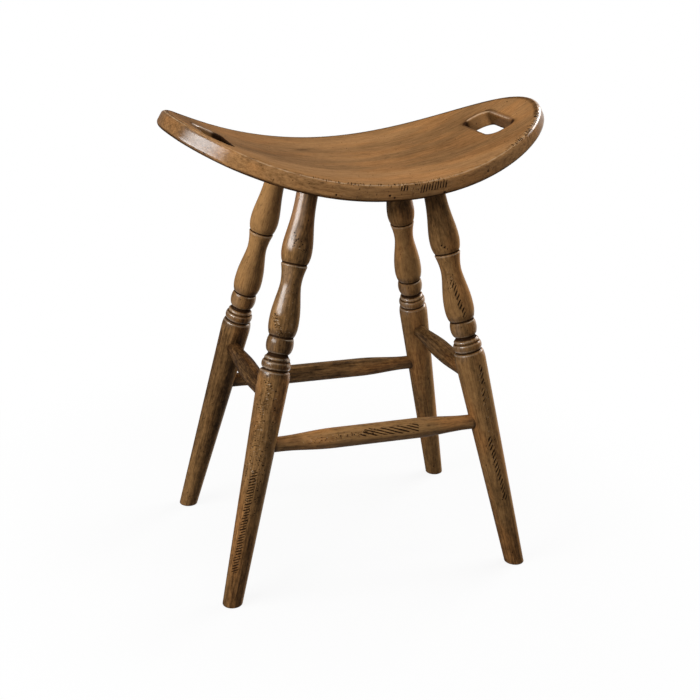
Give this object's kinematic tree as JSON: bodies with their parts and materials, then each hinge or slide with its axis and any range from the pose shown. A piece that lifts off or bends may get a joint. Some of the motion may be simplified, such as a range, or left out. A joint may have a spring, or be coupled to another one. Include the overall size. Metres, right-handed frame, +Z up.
{
  "type": "saddle bar stool",
  "caption": "Backless counter-height wooden stool with a bent oval saddle seat, slot handholds, splayed turned legs and swelled stretchers.",
  "frame": {"origin": "on the floor, under the middle of the seat", "axes": "+Z up; +X along the seat's length, from the left end to the right end; -Y faces the front, the long side seen in the picture"},
  "size_m": [0.5642, 0.354, 0.6857],
  "materials": {
    "stained_seat_wood": "satin lacquer over a warm mid-brown stain, with fine grain and dark glaze in the edges",
    "stained_turned_wood": "satin lacquer over a dark brown stain, rubbed through to a lighter brown on the swells, with dents and dark glaze in the grooves"
  },
  "bodies": {
    "root": {"seat": "stained_seat_wood", "leg_front_left": "stained_turned_wood", "leg_front_right": "stained_turned_wood", "leg_back_left": "stained_turned_wood", "leg_back_right": "stained_turned_wood", "stretcher_front": "stained_turned_wood", "stretcher_back": "stained_turned_wood", "stretcher_left": "stained_turned_wood", "stretcher_right": "stained_turned_wood"}
  },
  "joints": []
}
